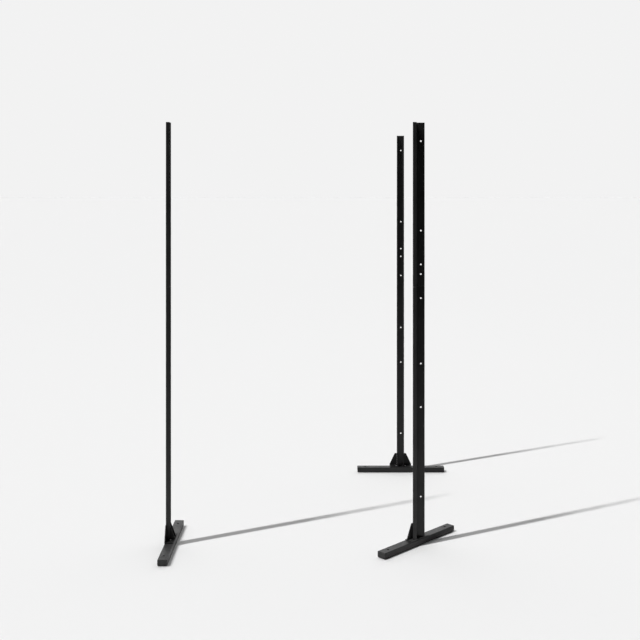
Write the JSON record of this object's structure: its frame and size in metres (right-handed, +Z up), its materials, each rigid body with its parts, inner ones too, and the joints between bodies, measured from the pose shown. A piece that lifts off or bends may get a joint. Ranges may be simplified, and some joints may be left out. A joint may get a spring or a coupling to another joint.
{
  "type": "weave poles",
  "caption": "Free-standing black weave poles set out as a right-angle corner: slotted channel posts in two lengths on bar feet with levelling glides.",
  "frame": {"origin": "centre of the set's box, at floor level", "axes": "+Z up; +X runs from the left pole to the corner pole, +Y from the corner pole to the rear pole"},
  "size_m": [1.4594, 1.4594, 2],
  "materials": {
    "coated_post": "satin black powder coat on aluminium, fine orange peel",
    "coated_foot": "satin black powder coat on steel tube, a little smoother than the posts",
    "coated_shoe": "deep black powder coat on bent steel plate, slightly matt",
    "black_plastic": "moulded black plastic end cap with a fine spark texture",
    "glide_plastic": "dark moulded plastic pad on a threaded stud",
    "zinc": "zinc plated steel, hidden inside the foot",
    "zinc_screw": "bright zinc plated pan head with a hexagon socket",
    "splice_steel": "blackened flat steel strip"
  },
  "bodies": {
    "corner_pole": {"corner_foot_tube": "coated_foot", "corner_foot_end_cap_1": "black_plastic", "corner_foot_end_cap_2": "black_plastic", "corner_threaded_insert_1": "zinc", "corner_threaded_insert_2": "zinc", "corner_shoe_screw_1": "zinc_screw", "corner_shoe_screw_2": "zinc_screw", "corner_shoe": "coated_shoe", "corner_post_lower": "coated_post", "corner_splice_strip_1": "splice_steel", "corner_splice_strip_2": "splice_steel"},
    "corner_upper_length": {"corner_post_upper": "coated_post"},
    "corner_glide_1": {"corner_levelling_glide_1": "glide_plastic"},
    "corner_glide_2": {"corner_levelling_glide_2": "glide_plastic"},
    "left_pole": {"left_foot_tube": "coated_foot", "left_foot_end_cap_1": "black_plastic", "left_foot_end_cap_2": "black_plastic", "left_threaded_insert_1": "zinc", "left_threaded_insert_2": "zinc", "left_shoe_screw_1": "zinc_screw", "left_shoe_screw_2": "zinc_screw", "left_shoe": "coated_shoe", "left_post_lower": "coated_post", "left_splice_strip": "splice_steel"},
    "left_upper_length": {"left_post_upper": "coated_post"},
    "left_glide_1": {"left_levelling_glide_1": "glide_plastic"},
    "left_glide_2": {"left_levelling_glide_2": "glide_plastic"},
    "rear_pole": {"rear_foot_tube": "coated_foot", "rear_foot_end_cap_1": "black_plastic", "rear_foot_end_cap_2": "black_plastic", "rear_threaded_insert_1": "zinc", "rear_threaded_insert_2": "zinc", "rear_shoe_screw_1": "zinc_screw", "rear_shoe_screw_2": "zinc_screw", "rear_shoe": "coated_shoe", "rear_post_lower": "coated_post", "rear_splice_strip": "splice_steel"},
    "rear_upper_length": {"rear_post_upper": "coated_post"},
    "rear_glide_1": {"rear_levelling_glide_1": "glide_plastic"},
    "rear_glide_2": {"rear_levelling_glide_2": "glide_plastic"}
  },
  "joints": [
    {"name": "left_pole_spacing", "type": "slide", "parent": "corner_pole", "child": "left_pole", "axis": [-1, 0, 0], "range_m": [-0.6, 0.3]},
    {"name": "rear_pole_spacing", "type": "slide", "parent": "corner_pole", "child": "rear_pole", "axis": [0, 1, 0], "range_m": [-0.6, 0.3]},
    {"name": "corner_upper_lift", "type": "slide", "parent": "corner_pole", "child": "corner_upper_length", "axis": [0, 0, 1], "range_m": [0, 0.15]},
    {"name": "left_upper_lift", "type": "slide", "parent": "left_pole", "child": "left_upper_length", "axis": [0, 0, 1], "range_m": [0, 0.15]},
    {"name": "rear_upper_lift", "type": "slide", "parent": "rear_pole", "child": "rear_upper_length", "axis": [0, 0, 1], "range_m": [0, 0.15]},
    {"name": "corner_glide_1_level", "type": "slide", "parent": "corner_pole", "child": "corner_glide_1", "axis": [0, 0, -1], "range_m": [0, 0.008]},
    {"name": "corner_glide_2_level", "type": "slide", "parent": "corner_pole", "child": "corner_glide_2", "axis": [0, 0, -1], "range_m": [0, 0.008]},
    {"name": "left_glide_1_level", "type": "slide", "parent": "left_pole", "child": "left_glide_1", "axis": [0, 0, -1], "range_m": [0, 0.008]},
    {"name": "left_glide_2_level", "type": "slide", "parent": "left_pole", "child": "left_glide_2", "axis": [0, 0, -1], "range_m": [0, 0.008]},
    {"name": "rear_glide_1_level", "type": "slide", "parent": "rear_pole", "child": "rear_glide_1", "axis": [0, 0, -1], "range_m": [0, 0.008]},
    {"name": "rear_glide_2_level", "type": "slide", "parent": "rear_pole", "child": "rear_glide_2", "axis": [0, 0, -1], "range_m": [0, 0.008]}
  ]
}
